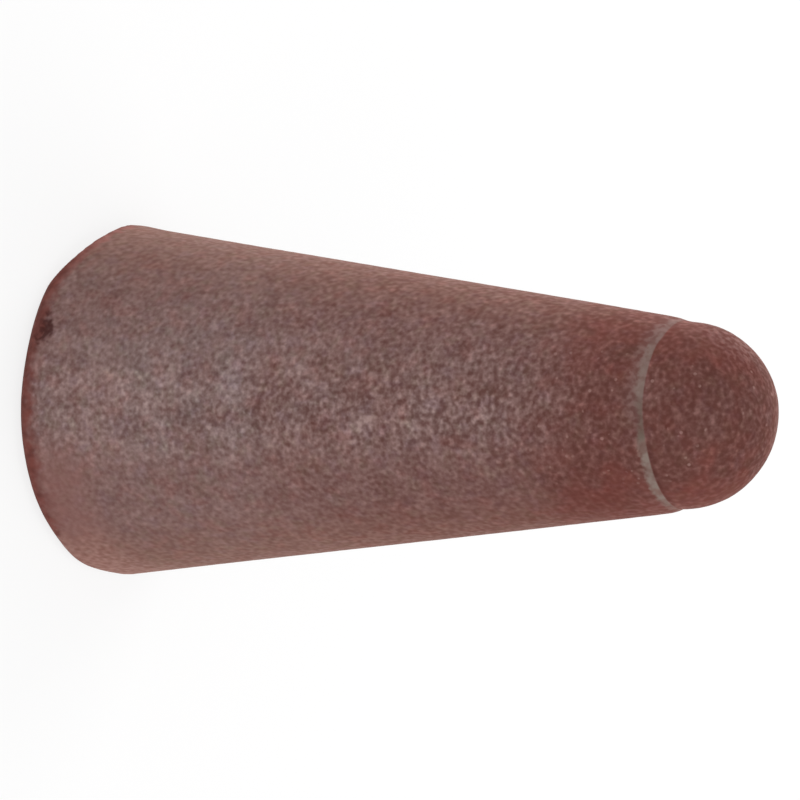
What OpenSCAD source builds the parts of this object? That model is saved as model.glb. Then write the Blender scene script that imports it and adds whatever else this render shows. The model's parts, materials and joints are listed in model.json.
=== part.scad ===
// Unmounted abrasive cone point, moulded in one piece: a flat base with a rounded rim, a straight
// taper, a rubbed ring where the taper ends, a domed tip and a blind hole for a mandrel.
// Millimetres. The cone stands on its base, tip up, with the origin at the centre of the base.

/* [Cone] */
// Diameter at the base, where the line of the taper meets it
base_d = 22.2; // [16:0.1:32]
// Diameter of the taper at its small end, below the rubbed ring
tip_d = 11.15; // [7:0.05:14]
// Overall length from the base to the top of the dome
length = 44.5; // [32:0.5:80]
// Radius that rounds the rim of the base
rim_r = 0.9; // [0.4:0.1:1.5]

/* [Rubbed ring] */
// Height of the rubbed land round the end of the taper
land_h = 0.6; // [0.2:0.1:1.2]
// How far the land leans in over its height
land_lean = 0.18; // [0.05:0.01:0.3]
// Step from the land in to the dome
ledge = 0.06; // [0.02:0.01:0.4]

/* [Mandrel hole] */
// Diameter of the hole, which grips a quarter-inch mandrel
hole_d = 6.35; // [3:0.05:8]
// Depth of the hole from the base
hole_depth = 22; // [10:0.5:28]
// Width of the chamfer at the mouth of the hole
lead_in = 0.5; // [0.2:0.1:1]

/* [Wear] */
// Place of the worn flat round the rim, from +X
flat_angle = 203; // [0:1:359]
// Depth of the worn flat into the rounded rim
flat_depth = 0.73; // [0.1:0.01:0.9]
// Place of the chip round the rim, from +X
chip_angle = 247; // [0:1:359]
// Radius of the scoop that the chip leaves
chip_r = 1.6; // [0.8:0.1:4]
// Depth of the chip into the rounded rim
chip_depth = 0.25; // [0.1:0.05:0.6]

/* [Hidden] */
$fn = 128;

// Tools that cut through a face reach this far past it
cut = 1;

// Ring and dome, from the taper in to the axis
land_end_r = tip_d / 2 - land_lean;
dome_r = land_end_r - ledge;
ring_z = length - dome_r;
land_z = ring_z - land_h;

// Rim rounding, tangent to the base and to the taper
taper = atan((base_d - tip_d) / 2 / land_z);
rim_x = base_d / 2 - rim_r * tan(taper) - rim_r / cos(taper);
rim_steps = 12;

// Wear on the rim: the flat leans more to the base than to the side, the chip faces a little up
flat_lean = 57;
flat_span = base_d;
chip_lean = -14;

// Point of the rim's rounding at an angle from straight out
function rim_point(angle) = [rim_x + rim_r * cos(angle), rim_r + rim_r * sin(angle)];

// Rounding from the base up to the taper
function rim_arc() = [for (i = [0 : rim_steps]) rim_point(-90 + (90 + taper) * i / rim_steps)];

// Half section below the dome: base, rim, taper and rubbed land
module taper_section() {
    polygon(concat(
        [[0, 0]],
        rim_arc(),
        [[tip_d / 2, land_z], [land_end_r, ring_z], [0, ring_z]]
    ));
}

// Dome: a ball whose lower half lies inside the taper
module dome() {
    translate([0, 0, ring_z])
        sphere(r = dome_r);
}

// Blind hole with a chamfered mouth
module mandrel_hole() {
    rotate_extrude()
        polygon([
            [0, -cut],
            [hole_d / 2 + lead_in + cut, -cut],
            [hole_d / 2, lead_in],
            [hole_d / 2, hole_depth],
            [0, hole_depth]
        ]);
}

// Moves a tool to the rim: turned to a place round it, leaning out and down, at a distance
// from the centre of the rim's rounding
module at_rim(angle, lean, distance) {
    rotate([0, 0, angle])
        translate([rim_x, 0, rim_r])
            rotate([0, lean, 0])
                translate([distance, 0, 0])
                    children();
}

// Worn flat across the rim
module rim_flat() {
    at_rim(flat_angle, flat_lean, rim_r - flat_depth)
        translate([0, -flat_span / 2, -flat_span / 2])
            cube(flat_span);
}

// Chip in the rim: one shallow scoop
module rim_chip() {
    at_rim(chip_angle, chip_lean, rim_r + chip_r - chip_depth)
        sphere(r = chip_r);
}

module abrasive_cone() {
    color([0.44, 0.29, 0.27])
        difference() {
            union() {
                rotate_extrude()
                    taper_section();
                dome();
            }
            mandrel_hole();
            rim_flat();
            rim_chip();
        }
}

abrasive_cone();
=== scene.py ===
"""Looks of an unmounted abrasive cone point: its worn, grainy surface, a plain studio and the camera.

Lengths are in metres in the part's own frame: origin at the centre of the base, tip up along +Z.
Angles round the axis are counted from +X. Upper side, front and lower side are as the camera sees them,
with the tip to the right: the upper side is near -X, the front near -Y and the lower side near +X.
"""

import json
import math

import bpy
import numpy as np
from mathutils import Matrix, Vector, noise


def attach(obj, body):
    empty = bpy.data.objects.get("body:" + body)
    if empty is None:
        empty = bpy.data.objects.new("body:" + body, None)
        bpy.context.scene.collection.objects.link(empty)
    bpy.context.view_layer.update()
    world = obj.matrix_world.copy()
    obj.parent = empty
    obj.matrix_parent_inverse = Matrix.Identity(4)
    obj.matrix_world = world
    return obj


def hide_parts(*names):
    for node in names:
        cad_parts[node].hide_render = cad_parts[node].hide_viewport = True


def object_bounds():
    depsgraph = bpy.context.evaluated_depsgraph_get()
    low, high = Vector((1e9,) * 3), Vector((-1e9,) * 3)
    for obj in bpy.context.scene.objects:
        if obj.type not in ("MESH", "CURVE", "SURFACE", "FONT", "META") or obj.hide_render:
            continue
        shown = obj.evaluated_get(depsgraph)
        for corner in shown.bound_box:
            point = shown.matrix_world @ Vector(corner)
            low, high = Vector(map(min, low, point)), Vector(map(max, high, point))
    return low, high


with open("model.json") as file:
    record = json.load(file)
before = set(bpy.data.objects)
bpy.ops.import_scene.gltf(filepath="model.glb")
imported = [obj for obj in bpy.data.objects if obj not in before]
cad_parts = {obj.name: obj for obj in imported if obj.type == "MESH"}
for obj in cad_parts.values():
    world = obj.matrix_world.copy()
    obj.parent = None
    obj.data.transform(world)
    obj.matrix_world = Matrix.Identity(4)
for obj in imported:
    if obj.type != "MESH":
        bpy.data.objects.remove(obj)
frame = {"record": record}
cad_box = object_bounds()

MM = 0.001
BODY = "root"
NODE = "abrasive_cone"

# Shortest length that anything is divided by
SHORTEST = 0.001 * MM

# Cone: sizes of the solid that the detailed surface stands for
LENGTH = cad_box[1].z
BASE_R = 11.1 * MM
TIP_R = 5.575 * MM
RIM_R = 0.9 * MM
LAND_H = 0.6 * MM
LAND_LEAN = 0.18 * MM
LEDGE = 0.06 * MM
LEAD_IN = 0.5 * MM
LAND_END_R = TIP_R - LAND_LEAN
DOME_R = LAND_END_R - LEDGE
RING_Z = LENGTH - DOME_R
LAND_Z = RING_Z - LAND_H
TAPER = math.atan((BASE_R - TIP_R) / LAND_Z)

# Mandrel hole, from the record's mount
HOLE = next(m["dims"] for m in frame["record"]["mounts"] if m["name"] == "mandrel_hole")
HOLE_R = HOLE["r_mm"] * MM
HOLE_DEPTH = HOLE["length_mm"] * MM + LEAD_IN

# Worn flat across the rim, with its unevenness and the size of the uneven spots
FLAT_ANGLE = math.radians(202)
FLAT_LEAN = math.radians(54.6)
FLAT_DEPTH = 0.775 * MM
FLAT_UNEVEN = 0.015 * MM
FLAT_SPOT = 0.9 * MM

# Chip in the rim, with its coarse and fine unevenness and the size of the uneven spots
CHIP_ANGLE = math.radians(247)
CHIP_LEAN = math.radians(-14)
CHIP_R = 1.6 * MM
CHIP_DEPTH = 0.25 * MM
CHIP_REACH = 1.25 * CHIP_R
CHIP_COARSE = 0.12 * MM
CHIP_COARSE_SPOT = 0.6 * MM
CHIP_FINE = 0.06 * MM
CHIP_FINE_SPOT = 0.25 * MM

# Stretches of the rim that are rounder or crisper: degrees round the axis, half width in degrees and
# change of the rounding's radius in millimetres
RIM_STRETCHES = {
    "end of the flat": (196, 15, -0.28),
    "front": (255, 17, 0.21),
    "towards the lower side": (308, 14, -0.10),
    "lower side": (336, 11, -0.24),
    "beyond the lower side": (352, 9, 0.35),
}

# Rubbed ring: it runs nearer to the tip on its lower side and at its upper end, and its edges are worn.
# Each start and end is the cosine of an angle from that place.
RING_TILT_ANGLE = math.radians(322)
RING_TILT_START = 0.45
RING_TILT_END = 1.05
RING_TILT_LOW = -0.14 * MM
RING_TILT_HIGH = 0.14 * MM
RING_LIFT_ANGLE = math.radians(200)
RING_LIFT_START = 0.90
RING_LIFT_END = 0.985
RING_LIFT = 0.12 * MM
RING_REACH = 0.8 * MM
RING_WEAR_PASSES = 20

# Groove along the ring's lower end, just below the foot of the dome
GROOVE_ANGLE = math.radians(350)
GROOVE_WIDTH = math.radians(42)
GROOVE_DEPTH = 0.08 * MM
GROOVE_Z = RING_Z - 0.15 * MM
GROOVE_REACH = 0.35 * MM

# Taper: a slight belly near its small end, and a small lip at the end of the worn flat
BELLY = 0.03 * MM
BELLY_Z = 29 * MM
BELLY_REACH = 12 * MM
LIP = 0.06 * MM
LIP_ANGLE = math.radians(181)
LIP_WIDTH = math.radians(11)
LIP_Z = 1.5 * MM
LIP_REACH = 1.0 * MM

# Dome: worn a little to one side and at the tip, and flatter on one shoulder. The shoulder's start is the
# cosine of an angle from its middle.
DOME_SHIFT = -0.035 * MM
DOME_SHIFT_RISE = 2.5 * MM
TIP_WEAR = 0.005 * MM
SHOULDER_ANGLE = math.radians(50)
SHOULDER_RISE = math.radians(55)
SHOULDER_START = 0.8
SHOULDER_WEAR = 0.06 * MM

# Slight waviness and grit all over the outside, with the size of their spots, and how far it sinks
WAVE = 0.010 * MM
WAVE_SPOT = 4 * MM
GRIT = 0.008 * MM
GRIT_SPOT = 0.45 * MM
SINK = 0.002 * MM

# Mesh: points round the axis, and points along each stretch of the section
AROUND = 480
HOLE_BOTTOM_ROWS = 3
HOLE_WALL_ROWS = 5
LEAD_IN_ROWS = 2
INNER_BASE_ROWS = 5
OUTER_BASE_ROWS = 9
RIM_ROWS = 22
LOW_TAPER_ROWS = 18
TAPER_ROWS = 78
HIGH_TAPER_ROWS = 9
LAND_ROWS = 10
DOME_ROWS = 44
WORN_DOME_ROWS = 3
HOLE_CENTRE_R = 0.2 * HOLE_R
OUTER_BASE_R = 8.6 * MM
LOW_TAPER_Z = 3.5 * MM
HIGH_TAPER_Z = 37.6 * MM
SHARP_EDGE = math.radians(40)

# Directions round the axis, and one on the dome, in which the surface looks different: real dust and wear,
# and painted glints, sheen, edge light and shade
# Front: painted glints in the grain are strongest facing this way, and the ring is strongest here
FRONT_ANGLE = math.radians(272)
# Dust with painted sheen, thickest facing this way
DUST_SHEEN_ANGLE = math.radians(264)
# Upper side: brighter painted edge light, stronger painted glints high up, and the pale bond reaching
# higher
UPPER_ANGLE = math.radians(212)
# Lower side: weaker painted glints
LOWER_ANGLE = math.radians(325)
# Painted shade on the lower side above the middle of the taper
LOWER_SHADE_ANGLE = math.radians(350)
HALO_ANGLE = math.radians(232)
RING_DARK_ANGLE = math.radians(273)
RING_CLEAR_ANGLE = math.radians(308)
RING_FADED_ANGLE = math.radians(195)
RING_SHADE_ANGLE = math.radians(312)
# Rim's lower side: the red band ends here, with painted light on a bare patch
BARE_LIT_ANGLE = math.radians(345)
# Painted light on the lower side just above the rim
LIT_CORNER_ANGLE = math.radians(306)
# Painted shade on the dome's upper shoulder
DOME_SHADE_DIRECTION = (-0.72, 0.05, 0.69)

# Slight changes of hue: shift of the noise, size of the spots and start of the change, and the tint
HUES = {
    "redder": ((3.1, 9.2, 4.4), 1.1, 0.48, (1.05, 0.93, 0.92, 1.0)),
    "greener": ((7.7, 1.3, 6.5), 0.9, 0.50, (0.96, 1.03, 0.96, 1.0)),
    "bluer": ((2.6, 5.8, 0.9), 0.9, 0.50, (0.98, 0.99, 1.07, 1.0)),
}

# Studio: a floor just below the base, so that the two never share a plane, and square soft lights with
# their place, width and power in watts
FLOOR_HALF = 1.5
FLOOR_Z = -0.05 * MM
SOFTBOXES = {
    "front": ((0.15, -0.5, 0.35), 0.5, 0.9),
    "upper side": ((-0.41, 0.43, 0.08), 0.35, 3.7),
    "beyond the tip": ((0.28, 0.30, 0.52), 0.4, 1.1),
}

# Camera, found from the outline in the photo
CAMERA_ELEVATION = math.radians(30.0)
CAMERA_ROLL = math.radians(91.5)
CAMERA_DISTANCE = 195 * MM
CAMERA_AIM = Vector((-0.45, 0.0, 20.40)) * MM
CAMERA_LENS = 146.7
CAMERA_CLIP = 10 * MM
SENSOR_WIDTH = 36.0


def linear(red, green, blue):
    """Linear colour with alpha from 8-bit sRGB."""
    channels = [c / 255 for c in (red, green, blue)]
    return [c / 12.92 if c <= 0.04045 else ((c + 0.055) / 1.055) ** 2.4 for c in channels] + [1.0]


class Graph:
    """Short calls that build a node tree. An input is a number, a colour or another node's output."""

    def __init__(self, tree):
        tree.nodes.clear()
        self.tree = tree

    def node(self, kind, inputs, **settings):
        made = self.tree.nodes.new(kind)
        for name, value in settings.items():
            setattr(made, name, value)
        for key, value in inputs.items():
            if isinstance(value, bpy.types.NodeSocket):
                self.tree.links.new(value, made.inputs[key])
            else:
                made.inputs[key].default_value = value
        return made

    def math(self, operation, a, b):
        return self.node("ShaderNodeMath", {0: a, 1: b}, operation=operation).outputs[0]

    def plus(self, a, b):
        return self.math("ADD", a, b)

    def minus(self, a, b):
        return self.math("SUBTRACT", a, b)

    def times(self, a, b):
        return self.math("MULTIPLY", a, b)

    def vector(self, operation, a, b=(0.0, 0.0, 0.0), output="Vector"):
        return self.node("ShaderNodeVectorMath", {0: a, 1: b}, operation=operation).outputs[output]

    def dot(self, a, b):
        return self.vector("DOT_PRODUCT", a, b, "Value")

    def ramp(self, value, start, end, low=0.0, high=1.0, shape="SMOOTHSTEP"):
        """Change from low to high as value goes from start to end."""
        inputs = {"Value": value, "From Min": start, "From Max": end, "To Min": low, "To Max": high}
        return self.node("ShaderNodeMapRange", inputs, interpolation_type=shape).outputs[0]

    def mix(self, factor, a, b):
        made = self.node("ShaderNodeMix", {"Factor": factor, 6: a, 7: b}, data_type="RGBA")
        return made.outputs[2]

    def tint(self, factor, colour, by):
        """Colour times another, by the factor."""
        inputs = {"Factor": factor, 6: colour, 7: by}
        return self.node("ShaderNodeMix", inputs, data_type="RGBA", blend_type="MULTIPLY").outputs[2]

    def noise(self, place, size, detail=2.0):
        """Soft noise from 0 to 1 whose features are about that size, in millimetres."""
        inputs = {"Vector": place, "Scale": 1 / size, "Detail": detail, "Roughness": 0.5}
        return self.node("ShaderNodeTexNoise", inputs).outputs["Fac"]

    def wander(self, place, size, low, high, detail=2.0):
        """Soft noise of that size that wanders from low to high."""
        return self.ramp(self.noise(place, size, detail), 0.3, 0.7, low, high)

    def cell_distance(self, place, size):
        """Distance from the middle of Voronoi cells of about that size, in millimetres."""
        return self.node("ShaderNodeTexVoronoi", {"Vector": place, "Scale": 1 / size}).outputs["Distance"]


def bump(values, centre, reach):
    """Soft bump of height 1 at a value."""
    return np.exp(-(((values - centre) / reach) ** 2))


def bump_round(angles, centre, width):
    """Soft bump of height 1 at an angle round the axis."""
    apart = np.angle(np.exp(1j * (angles - centre)))
    return bump(apart, 0, width)


def smooth_step(values, start, end):
    """Smooth change from 0 to 1 as values go from start to end."""
    share = np.clip((values - start) / (end - start), 0, 1)
    return share * share * (3 - 2 * share)


def noise_at(points, size, seed):
    """Soft noise from -1 to 1 with features of about that size, at each point."""
    shift = Vector((seed, seed * 2, seed * 3))
    return np.array([noise.noise(Vector(p) / size + shift) for p in points])


def lengths(vectors):
    """Length of each vector, and never zero."""
    return np.maximum(np.linalg.norm(vectors, axis=1), SHORTEST)


def direction(turn, rise):
    """Unit vector at an angle round the axis and an angle above level."""
    return np.array([math.cos(turn) * math.cos(rise), math.sin(turn) * math.cos(rise), math.sin(rise)])


def rim_centre(rim_r):
    """Radius of the circle that the centres of the rim's rounding lie on."""
    return BASE_R - rim_r * math.tan(TAPER) - rim_r / math.cos(TAPER)


def rim_rounding(angles):
    """Radius of the worn rim at each angle."""
    rim_r = np.full_like(angles, RIM_R)
    for angle, width, change in RIM_STRETCHES.values():
        rim_r += change * MM * bump_round(angles, math.radians(angle), math.radians(width))
    return rim_r


def rim_place(angle, lean, distance):
    """Point at a distance from the centre of the rim's rounding, and the direction out and down to it."""
    out = direction(angle, -lean)
    centre = rim_centre(RIM_R) * direction(angle, 0) + np.array([0, 0, RIM_R])
    return centre + out * distance, out


def taper_radius(height):
    return BASE_R - height * math.tan(TAPER)


def section(angles):
    """Radius and height along the section, one row for each point and one column for each angle."""
    rows = []

    def line(end_radius, end_height, count):
        radius, height = rows[-1]
        for share in np.linspace(0, 1, count)[1:]:
            rows.append((radius + (end_radius - radius) * share, height + (end_height - height) * share))

    rim_r = rim_rounding(angles)
    rim_x = rim_centre(rim_r)
    even = np.ones_like(angles)
    rows.append((HOLE_CENTRE_R * even, HOLE_DEPTH * even))
    line(HOLE_R, HOLE_DEPTH, HOLE_BOTTOM_ROWS)
    line(HOLE_R, LEAD_IN, HOLE_WALL_ROWS)
    line(HOLE_R + LEAD_IN, 0, LEAD_IN_ROWS)
    line(OUTER_BASE_R, 0, INNER_BASE_ROWS)
    line(rim_x, 0, OUTER_BASE_ROWS)
    inside_rows = len(rows)
    for turn in np.linspace(-math.pi / 2, TAPER, RIM_ROWS)[1:]:
        rows.append((rim_x + rim_r * math.cos(turn), rim_r + rim_r * math.sin(turn)))
    line(taper_radius(LOW_TAPER_Z), LOW_TAPER_Z, LOW_TAPER_ROWS)
    line(taper_radius(HIGH_TAPER_Z), HIGH_TAPER_Z, TAPER_ROWS)
    line(TIP_R, LAND_Z, HIGH_TAPER_ROWS)
    line(LAND_END_R, RING_Z, LAND_ROWS)
    for turn in np.linspace(0, math.pi / 2, DOME_ROWS, endpoint=False):
        rows.append((DOME_R * math.cos(turn) * even, (RING_Z + DOME_R * math.sin(turn)) * even))
    return np.array([r for r, z in rows]), np.array([z for r, z in rows]), inside_rows


def swell_taper(radius, height, angles):
    """Adds the belly near the taper's small end and the lip at the end of the worn flat, but not in the
    hole."""
    belly = BELLY * bump(height, BELLY_Z, BELLY_REACH)
    lip = LIP * bump(height, LIP_Z, LIP_REACH) * bump_round(angles, LIP_ANGLE, LIP_WIDTH)
    return radius + (belly + lip) * (radius > 1.5 * HOLE_R)


def wear_ring(radius, height, angles):
    """Rounds the edges of the rubbed land, tilts the ring a little and cuts the groove along its end."""
    land_end = len(radius) - DOME_ROWS
    worn = slice(land_end - LAND_ROWS - HIGH_TAPER_ROWS, land_end + WORN_DOME_ROWS)
    for _ in range(RING_WEAR_PASSES):
        for values in (radius, height):
            part = values[worn]
            part[1:-1] = 0.25 * part[:-2] + 0.5 * part[1:-1] + 0.25 * part[2:]
    share = smooth_step(np.cos(angles - RING_TILT_ANGLE), RING_TILT_START, RING_TILT_END)
    tilt = RING_TILT_LOW + (RING_TILT_HIGH - RING_TILT_LOW) * share
    tilt += RING_LIFT * smooth_step(np.cos(angles - RING_LIFT_ANGLE), RING_LIFT_START, RING_LIFT_END)
    along = bump_round(angles, GROOVE_ANGLE, GROOVE_WIDTH)
    groove = GROOVE_DEPTH * along * bump(height, GROOVE_Z, GROOVE_REACH)
    return radius - groove, height + tilt * bump(height, RING_Z, RING_REACH)


def roughen(points, outside):
    """Slight waviness and grit on the outside, so that no outline is ideal."""
    radial = points * np.array([1, 1, 0])
    radial /= lengths(radial)[:, None]
    on_dome = points - np.array([0, 0, RING_Z])
    on_dome /= lengths(on_dome)[:, None]
    out = np.where((points[:, 2] > RING_Z)[:, None], on_dome, radial)
    depth = WAVE * noise_at(points, WAVE_SPOT, 1) + GRIT * noise_at(points, GRIT_SPOT, 2) - SINK
    return points + out * (depth * outside)[:, None]


def wear_flat(points):
    """Presses what stands outside the worn flat back onto it."""
    place, out = rim_place(FLAT_ANGLE, FLAT_LEAN, RIM_R - FLAT_DEPTH)
    above = (points - place) @ out
    outside = above > 0
    uneven = np.zeros(len(points))
    uneven[outside] = FLAT_UNEVEN * noise_at(points[outside], FLAT_SPOT, 6)
    pressed = np.where(outside, above - np.minimum(uneven, above), 0)
    return points - pressed[:, None] * out


def wear_chip(points):
    """Scoops out the chip, with an uneven edge and floor."""
    place, _ = rim_place(CHIP_ANGLE, CHIP_LEAN, RIM_R + CHIP_R - CHIP_DEPTH)
    offset = points - place
    distance = lengths(offset)
    near = distance < CHIP_REACH
    reach = np.full(len(points), CHIP_R)
    reach[near] += CHIP_COARSE * noise_at(points[near], CHIP_COARSE_SPOT, 4)
    reach[near] += CHIP_FINE * noise_at(points[near], CHIP_FINE_SPOT, 9)
    share = np.where(distance < reach, reach / distance, 1.0)
    return place + offset * share[:, None]


def wear_dome(points):
    """Flattens one shoulder of the dome, and shifts the dome a little to one side."""
    centre = np.array([0, 0, RING_Z])
    offset = points - centre
    distance = lengths(offset)
    facing = offset @ direction(SHOULDER_ANGLE, SHOULDER_RISE) / distance
    worn = SHOULDER_WEAR * smooth_step(facing, SHOULDER_START, 1.0) * (points[:, 2] > RING_Z)
    points = centre + offset * (1 - worn / distance)[:, None]
    points[:, 0] += DOME_SHIFT * smooth_step(points[:, 2], RING_Z, RING_Z + DOME_SHIFT_RISE)
    return points


def grid_faces(row_count):
    """Quads between rows of points round the axis, and a fan at each end."""
    first_pole = row_count * AROUND
    last_pole = first_pole + 1
    last = (row_count - 1) * AROUND
    faces = []
    for row in range(row_count - 1):
        for k in range(AROUND):
            a = row * AROUND + k
            b = row * AROUND + (k + 1) % AROUND
            faces.append((a, b, b + AROUND, a + AROUND))
    for k in range(AROUND):
        after = (k + 1) % AROUND
        faces.append((after, k, first_pole))
        faces.append((last + k, last + after, last_pole))
    return faces


def cone_mesh():
    """Closed surface of the whole cone: hole, base, rim, taper, rubbed land and dome."""
    angles = np.arange(AROUND) * 2 * math.pi / AROUND
    radius, height, inside_rows = section(angles)
    radius, height = wear_ring(swell_taper(radius, height, angles), height, angles)
    points = np.stack([radius * np.cos(angles), radius * np.sin(angles), height], axis=2)
    row_count = len(points)
    outside = np.repeat((np.arange(row_count) >= inside_rows).astype(float), AROUND)
    points = roughen(points.reshape(-1, 3), outside)
    points = wear_dome(wear_chip(wear_flat(points)))
    points = np.clip(points, cad_box[0], cad_box[1])
    poles = [(0, 0, HOLE_DEPTH), (DOME_SHIFT, 0, LENGTH - TIP_WEAR)]
    mesh = bpy.data.meshes.new("abrasive_cone_surface")
    mesh.from_pydata(points.tolist() + poles, [], grid_faces(row_count))
    mesh.validate()
    mesh.shade_smooth()
    mesh.set_sharp_from_angle(angle=SHARP_EDGE)
    return mesh


# Material: places and heights are in millimetres, and the ramps over directions run over cosines


def level_place(g, mm):
    """Place without its height."""
    return g.vector("MULTIPLY", mm, (1.0, 1.0, 0.0))


def toward(g, mm, angle):
    """Cosine of the angle round the axis between a place and a direction."""
    return g.dot(g.vector("NORMALIZE", level_place(g, mm)), (math.cos(angle), math.sin(angle), 0.0))


def facing_aside(g, normal):
    """How far the surface faces away from the front to either side, from 0 to 1."""
    across = (-math.sin(FRONT_ANGLE), math.cos(FRONT_ANGLE), 0.0)
    return g.math("ABSOLUTE", g.dot(normal, across), 0.0)


def grain_field(g, mm, aside):
    """Grain with features of about a sixth of a millimetre, broader to the sides, around a half."""
    coarse = g.noise(mm, 0.32, 0.5)
    fine = g.noise(g.vector("ADD", mm, (5.2, 2.7, 8.1)), 0.27, 1.0)
    broad = g.noise(g.vector("ADD", mm, (1.9, 7.3, 3.6)), 0.4, 0.5)
    share = g.ramp(aside, 0.5, 0.9, 0.0, 0.8)
    second = g.plus(fine, g.times(g.minus(broad, fine), share))
    return g.ramp(g.plus(coarse, second), 0.55, 1.45, 0.0, 1.0, "LINEAR")


def grain_glint_tone(g, mm, z, grain, aside):
    """Grain with broader blotches, mostly dark and calmer near the base; painted glints make it strong in
    front and calm to the sides.
    """
    across = g.times(g.ramp(aside, 0.5, 0.0, 0.66, 0.97), g.ramp(aside, 0.95, 0.65, 0.7, 1.0))
    along = g.ramp(z, 6.0, 24.0, 0.78, 1.08, "LINEAR")
    lower = g.ramp(toward(g, mm, LOWER_ANGLE), 0.7, 0.95, 1.0, 0.85)
    upper = g.ramp(toward(g, mm, UPPER_ANGLE), 0.4, 0.85, 0.0, 0.15)
    high = g.plus(g.times(upper, g.ramp(z, 20.0, 30.0)), 1.0)
    # Painted glints: the grain's contrast follows how far the surface faces the front
    glint_share = g.times(g.times(across, along), g.times(lower, high))
    blotch = g.ramp(g.noise(mm, 1.5, 1.0), 0.25, 0.75, -0.18, 0.18, "LINEAR")
    uneven = g.plus(g.minus(grain, 0.5), blotch)
    even = g.plus(g.times(uneven, glint_share), 0.5)
    return g.math("POWER", g.math("MAXIMUM", even, 0.0), 1.5)


def lit_clean_grit(g, mm, grain, aside):
    """Reddish-brown bond: a few pale grains in front are painted glints, and the sides are redder and
    brighter as painted edge light, brightest on the upper side and smoothest on the lower.
    """
    few = g.math("POWER", grain, 2.2)
    front = g.mix(few, linear(94, 55, 49), linear(132, 90, 84))
    upper = g.ramp(toward(g, mm, UPPER_ANGLE), 0.3, 0.8)
    deep = g.mix(upper, linear(106, 58, 51), linear(102, 55, 48))
    # Painted edge light: brighter side colours, more so on the upper side
    lit_edge = g.mix(upper, linear(130, 78, 71), linear(141, 87, 80))
    side = g.mix(few, deep, lit_edge)
    turned = g.plus(aside, g.wander(mm, 2.2, -0.25, 0.25, 1.0))
    bond = g.mix(g.ramp(turned, 0.35, 0.8), front, side)
    some = g.ramp(g.noise(mm, 0.9, 1.0), 0.5, 0.65, 0.0, 0.6)
    # Painted glints: sparse pale grains, only towards the front
    glint_dots = g.times(g.ramp(g.cell_distance(mm, 0.55), 0.24, 0.12), some)
    return g.mix(g.times(glint_dots, g.ramp(aside, 0.85, 0.5)), bond, linear(160, 124, 117))


def pale_on(g, mm, z, tone, aside, colour):
    """Paler, duller bond from below the ring down to the base, palest in front, and warmer to the sides as
    painted edge light.
    """
    wander = g.ramp(g.noise(mm, 1.8), 0.25, 0.75, -1.3, 1.3)
    raised = g.ramp(toward(g, mm, UPPER_ANGLE), 0.8, 0.97, 0.0, -2.0)
    top = g.ramp(g.plus(z, g.plus(wander, raised)), 36.4, 29.8, 0.0, 0.6)
    low = g.ramp(z, 32.0, 3.0, 0.0, 0.4, "LINEAR")
    near = g.times(g.ramp(z, 18.0, 8.0), g.ramp(aside, 0.5, 0.1))
    # Painted edge light: warmer colours where the surface faces to the sides
    far = g.ramp(aside, 0.6, 0.95)
    dark = g.mix(far, g.mix(near, linear(98, 64, 59), linear(108, 75, 70)), linear(99, 63, 54))
    light = g.mix(far, g.mix(near, linear(162, 131, 126), linear(178, 149, 145)), linear(160, 124, 113))
    return g.mix(g.plus(top, low), colour, g.mix(tone, dark, light))


def dust_and_sheen_on(g, mm, z, tone, colour):
    """Grey dust in patches with painted sheen: thickest in front, where the sheen is, and in a belt above
    the base.
    """
    # Painted sheen: the grey share grows towards the front
    front = toward(g, mm, DUST_SHEEN_ANGLE)
    broad = g.ramp(front, 0.0, 0.9, 0.06, 0.46, "LINEAR")
    around = g.plus(broad, g.ramp(front, 0.86, 0.99, 0.0, 0.42))
    belt = g.times(g.ramp(z, 17.5, 14.0, 0.0, 0.4), g.ramp(z, 5.0, 9.0, 0.2, 1.0))
    along = g.plus(g.ramp(z, 35.5, 29.0, 0.1, 0.5), belt)
    share = g.times(g.times(around, along), g.wander(mm, 2.2, 0.6, 1.4))
    dust = g.mix(tone, linear(98, 74, 71), linear(165, 144, 141))
    return g.mix(share, colour, dust)


def dome_shade_on(g, normal, z, colour):
    """Painted shade: smoother, darker red on the dome's upper shoulder."""
    facing = g.ramp(g.dot(normal, DOME_SHADE_DIRECTION), 0.8, 0.99)
    return g.tint(g.times(facing, g.ramp(z, 38.9, 39.5)), colour, (0.78, 0.63, 0.60, 1.0))


def hues_on(g, mm, z, colour):
    """Darker, redder lower side above the middle as painted shade, and slight changes of hue from place to
    place.
    """
    middle = g.times(g.ramp(z, 14.0, 27.0), g.ramp(z, 38.4, 36.5))
    # Painted shade on the lower side
    lower = g.times(g.ramp(toward(g, mm, LOWER_SHADE_ANGLE), 0.4, 0.85), middle)
    colour = g.tint(lower, colour, (0.90, 0.85, 0.84, 1.0))
    for shift, size, start, tint in HUES.values():
        share = g.ramp(g.noise(g.vector("ADD", mm, shift), size), start, 0.7, 0.0, 0.8)
        colour = g.tint(share, colour, tint)
    return colour


def above_ring(g, mm, z):
    """Height above the tilted ring's edge on the side of the tip."""
    turned = toward(g, mm, RING_TILT_ANGLE)
    tilt = g.ramp(turned, RING_TILT_START, RING_TILT_END, RING_TILT_LOW / MM, RING_TILT_HIGH / MM)
    lift = g.ramp(toward(g, mm, RING_LIFT_ANGLE), RING_LIFT_START, RING_LIFT_END, 0.0, RING_LIFT / MM)
    return g.minus(g.minus(z, RING_Z / MM), g.plus(tilt, lift))


def below_edge(g, above):
    """1 below the ring's edge on the side of the tip, and 0 above it."""
    return g.ramp(above, 0.06, -0.05)


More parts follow.
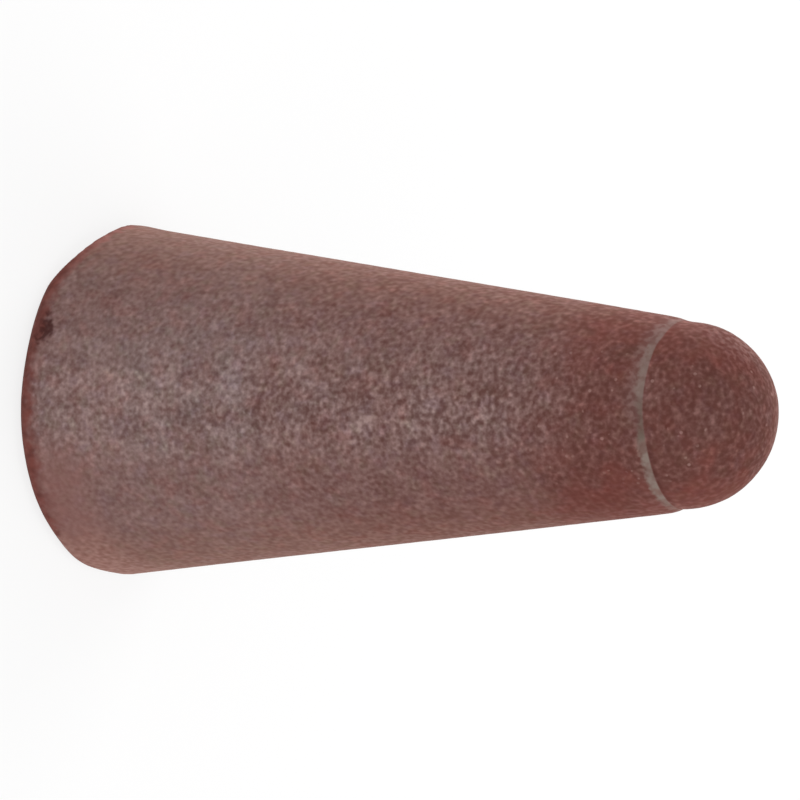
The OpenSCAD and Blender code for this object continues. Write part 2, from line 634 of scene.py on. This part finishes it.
def halo_on(g, mm, above, grain, colour):
    """Speckled dust below the ring, most of it on the upper side."""
    halo = g.times(g.ramp(above, -1.4, -0.25, 0.0, 0.55), below_edge(g, above))
    aside = g.times(halo, g.ramp(toward(g, mm, HALO_ANGLE), 0.6, 0.95, 0.15, 1.0))
    speckled = g.times(aside, g.ramp(grain, 0.3, 0.7, 0.5, 1.2))
    return g.mix(speckled, colour, linear(130, 108, 104))


def ring_on(g, mm, above, grain, colour):
    """Grey rubbed ring: narrow and dark in front, broad and clear below it, faded at its upper end and
    fainter on the back."""
    middle = g.ramp(toward(g, mm, RING_DARK_ANGLE), 0.955, 0.992)
    lower = g.ramp(toward(g, mm, RING_CLEAR_ANGLE), 0.8, 0.97)
    width = g.ramp(g.noise(mm, 2.2, 1.0), 0.35, 0.65, 0.25, 0.41)
    broader = g.minus(g.times(lower, 0.12), g.times(middle, 0.08))
    inner = g.plus(above, g.plus(width, broader))
    ragged = g.plus(inner, g.ramp(grain, 0.3, 0.7, -0.05, 0.05))
    band = g.times(g.ramp(ragged, -0.2, 0.16), below_edge(g, above))
    seen = g.ramp(toward(g, mm, FRONT_ANGLE), -0.3, 0.4, 0.5, 1.0)
    faded = g.ramp(toward(g, mm, RING_FADED_ANGLE), 0.835, 0.925, 1.0, 0.32)
    clear = g.times(g.ramp(lower, 0.0, 1.0, 0.75, 1.2), faded)
    patchy = g.ramp(g.noise(mm, 0.7), 0.3, 0.65, 0.35, 0.85)
    strength = g.times(g.times(patchy, clear), seen)
    tone = g.mix(middle, linear(134, 118, 110), linear(107, 93, 83))
    return g.mix(g.times(band, strength), colour, tone)


def ring_shade_on(g, mm, above, colour):
    """Dark line beside the ring on the side of the tip, towards the ring's lower end."""
    line = g.times(g.ramp(above, -0.02, 0.1), g.ramp(above, 0.4, 0.1, 0.0, 0.5))
    shaded = g.times(line, g.ramp(toward(g, mm, RING_SHADE_ANGLE), 0.8, 0.97))
    return g.mix(shaded, colour, linear(78, 42, 38))


def above_flat(g, mm):
    """Distance from the plane of the worn flat, outwards."""
    place, out = rim_place(FLAT_ANGLE, FLAT_LEAN, RIM_R - FLAT_DEPTH)
    return g.dot(g.vector("SUBTRACT", mm, [float(c) / MM for c in place]), [float(c) for c in out])


def rim_on(g, mm, z, grain, colour):
    """Clean red band where the dust is rubbed off the rim and off the edge of the worn flat, lighter along
    the flat's edge as painted light; painted light just above the rim on the lower side; and a bare patch
    where the band ends, paler as painted light."""
    wander = g.wander(mm, 0.7, -0.2, 0.2)
    side = toward(g, mm, BARE_LIT_ANGLE)
    narrow = g.ramp(side, 0.45, 0.9, 0.0, 0.3)
    gone = g.ramp(g.plus(side, g.times(wander, 0.12)), 0.86, 0.99)
    low = g.ramp(g.plus(g.plus(z, wander), g.plus(narrow, gone)), 1.9, 0.7)
    near_flat = g.ramp(g.plus(above_flat(g, mm), wander), -0.8, -0.25)
    # Painted light on the lower side just above the rim
    lit_corner = g.times(g.ramp(toward(g, mm, LIT_CORNER_ANGLE), 0.9, 0.99), g.ramp(z, 5.5, 2.5, 0.0, 0.5))
    patches = g.wander(mm, 0.8, 0.0, 1.0)
    # Lighter red along the flat's edge: clean bond and painted light
    fresh_and_lit = g.mix(patches, linear(124, 72, 66), linear(148, 98, 92))
    red = g.mix(patches, linear(96, 50, 45), linear(122, 68, 61))
    # Bare patch where the band ends, paler as painted light
    bare = g.mix(grain, linear(132, 91, 82), linear(166, 126, 117))
    colour = g.mix(lit_corner, colour, linear(138, 95, 89))
    colour = g.mix(g.times(near_flat, 0.9), colour, fresh_and_lit)
    colour = g.mix(g.times(low, 0.9), colour, red)
    return g.mix(g.times(gone, g.ramp(z, 6.5, 1.2, 0.0, 0.85)), colour, bare)


def chip_on(g, mm, z, colour):
    """Fresh break in the chip, with painted shade darkest along its upper wall."""
    place, _ = rim_place(CHIP_ANGLE, 1.6 * CHIP_LEAN, RIM_R - 0.5 * CHIP_DEPTH)
    away = g.vector("DISTANCE", mm, [float(c) / MM for c in place], "Value")
    ragged = g.plus(away, g.wander(mm, 0.45, -0.28, 0.28, 1.0))
    # Painted shade along the chip's upper wall
    wall = g.ramp(g.plus(z, g.wander(mm, 0.4, -0.3, 0.3, 1.0)), 0.8, 1.5)
    tone = g.mix(wall, linear(108, 64, 59), linear(64, 30, 27))
    return g.mix(g.ramp(ragged, 1.3, 0.55, 0.0, 0.85), colour, tone)


def base_on(g, mm, z, grain, colour):
    """Clean base with grain and very faint rings from moulding."""
    radius = g.vector("LENGTH", level_place(g, mm), output="Value")
    rings = g.node("ShaderNodeTexNoise", {"W": radius, "Scale": 2.5, "Detail": 3.0}, noise_dimensions="1D")
    ringed = g.ramp(rings.outputs["Fac"], 0.3, 0.7, -0.12, 0.12)
    cloudy = g.wander(mm, 2.4, -0.25, 0.25)
    uneven = g.plus(grain, g.plus(ringed, cloudy))
    tone = g.mix(uneven, linear(98, 58, 52), linear(134, 92, 85))
    return g.mix(g.ramp(z, 0.12, 0.02, 0.0, 0.95), colour, tone)


def abrasive_material():
    """Fine grit in a reddish-brown bond: dusty side, clean dome and rim, grey rubbed ring, dark chip, with
    painted glints, sheen, edge light and shade.
    """
    material = bpy.data.materials.new("bonded_abrasive")
    material.use_nodes = True
    g = Graph(material.node_tree)
    place = g.node("ShaderNodeTexCoord", {})
    normal = place.outputs["Normal"]
    scale = {0: place.outputs["Object"], "Scale": 1 / MM}
    mm = g.node("ShaderNodeVectorMath", scale, operation="SCALE").outputs[0]
    z = g.node("ShaderNodeSeparateXYZ", {0: mm}).outputs["Z"]
    aside = facing_aside(g, normal)
    grain = grain_field(g, mm, aside)
    tone = grain_glint_tone(g, mm, z, grain, aside)
    above = above_ring(g, mm, z)
    colour = lit_clean_grit(g, mm, grain, aside)
    colour = pale_on(g, mm, z, tone, aside, colour)
    colour = dust_and_sheen_on(g, mm, z, tone, colour)
    colour = dome_shade_on(g, normal, z, colour)
    colour = hues_on(g, mm, z, colour)
    colour = halo_on(g, mm, above, grain, colour)
    colour = ring_on(g, mm, above, grain, colour)
    colour = ring_shade_on(g, mm, above, colour)
    colour = rim_on(g, mm, z, grain, colour)
    colour = chip_on(g, mm, z, colour)
    colour = base_on(g, mm, z, grain, colour)
    relief = g.node("ShaderNodeBump", {"Height": grain, "Strength": 0.4, "Distance": 0.03 * MM})
    shader = g.node("ShaderNodeBsdfPrincipled", {
        "Base Color": colour,
        "Roughness": g.ramp(grain, 0.3, 0.7, 0.8, 0.6),
        "Specular IOR Level": 0.05,
        "Sheen Weight": 0.15,
        "Sheen Roughness": 0.4,
        "Sheen Tint": linear(230, 180, 165),
        "Normal": relief.outputs[0],
    })
    g.node("ShaderNodeOutputMaterial", {"Surface": shader.outputs[0]})
    return material


def make_cone():
    cone = bpy.data.objects.new("abrasive_cone_surface", cone_mesh())
    bpy.context.scene.collection.objects.link(cone)
    cone.data.materials.append(abrasive_material())
    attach(cone, BODY)
    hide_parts(NODE)


def seen_directly(g):
    """1 for rays from the camera, and for those that reflect or pass on what it sees."""
    path = g.node("ShaderNodeLightPath", {})
    seen = g.math("MAXIMUM", path.outputs["Is Camera Ray"], path.outputs["Is Glossy Ray"])
    return g.math("MAXIMUM", seen, path.outputs["Is Transmission Ray"])


def floor_material():
    """White floor that keeps a soft shadow."""
    material = bpy.data.materials.new("studio_floor")
    material.use_nodes = True
    g = Graph(material.node_tree)
    paper = g.node("ShaderNodeBsdfDiffuse", {"Color": (0.95, 0.95, 0.95, 1.0)})
    white = g.node("ShaderNodeEmission", {"Strength": 1.0})
    share = g.times(seen_directly(g), 0.8)
    surface = g.node("ShaderNodeMixShader", {0: share, 1: paper.outputs[0], 2: white.outputs[0]})
    g.node("ShaderNodeOutputMaterial", {"Surface": surface.outputs[0]})
    return material


def make_floor():
    sides = [(-1, -1), (1, -1), (1, 1), (-1, 1)]
    corners = [(x * FLOOR_HALF, y * FLOOR_HALF, FLOOR_Z) for x, y in sides]
    mesh = bpy.data.meshes.new("studio_floor")
    mesh.from_pydata(corners, [], [(0, 1, 2, 3)])
    floor = bpy.data.objects.new("studio_floor", mesh)
    floor.data.materials.append(floor_material())
    bpy.context.scene.collection.objects.link(floor)


def make_world():
    """Even white surroundings that light the object, and are white where the camera sees them."""
    world = bpy.data.worlds.new("studio")
    bpy.context.scene.world = world
    world.use_nodes = True
    g = Graph(world.node_tree)
    strength = g.ramp(seen_directly(g), 0.0, 1.0, 0.65, 1.0)
    sky = g.node("ShaderNodeBackground", {"Color": (1.0, 1.0, 1.0, 1.0), "Strength": strength})
    g.node("ShaderNodeOutputWorld", {"Surface": sky.outputs[0]})


def make_softbox(name, place, width, power):
    """Square soft light that faces the middle of the cone."""
    lamp = bpy.data.lights.new(name, "AREA")
    lamp.size = width
    lamp.energy = power
    box = bpy.data.objects.new(name, lamp)
    box.location = place
    aim = Vector((0, 0, LENGTH / 2)) - Vector(place)
    box.rotation_euler = aim.to_track_quat("-Z", "Y").to_euler()
    bpy.context.scene.collection.objects.link(box)


def make_camera():
    data = bpy.data.cameras.new("camera")
    data.lens = CAMERA_LENS
    data.sensor_width = SENSOR_WIDTH
    data.clip_start = CAMERA_CLIP
    camera = bpy.data.objects.new("camera", data)
    back = Vector((0, -math.cos(CAMERA_ELEVATION), math.sin(CAMERA_ELEVATION)))
    right = Vector((1, 0, 0))
    turned = Matrix((right, back.cross(right), back)).transposed() @ Matrix.Rotation(CAMERA_ROLL, 3, "Z")
    camera.matrix_world = Matrix.Translation(CAMERA_AIM + back * CAMERA_DISTANCE) @ turned.to_4x4()
    bpy.context.scene.collection.objects.link(camera)
    bpy.context.scene.camera = camera


bpy.context.scene.view_settings.view_transform = "Standard"
make_camera()
make_cone()
make_floor()
make_world()
for name, (place, width, power) in SOFTBOXES.items():
    make_softbox(name, place, width, power)
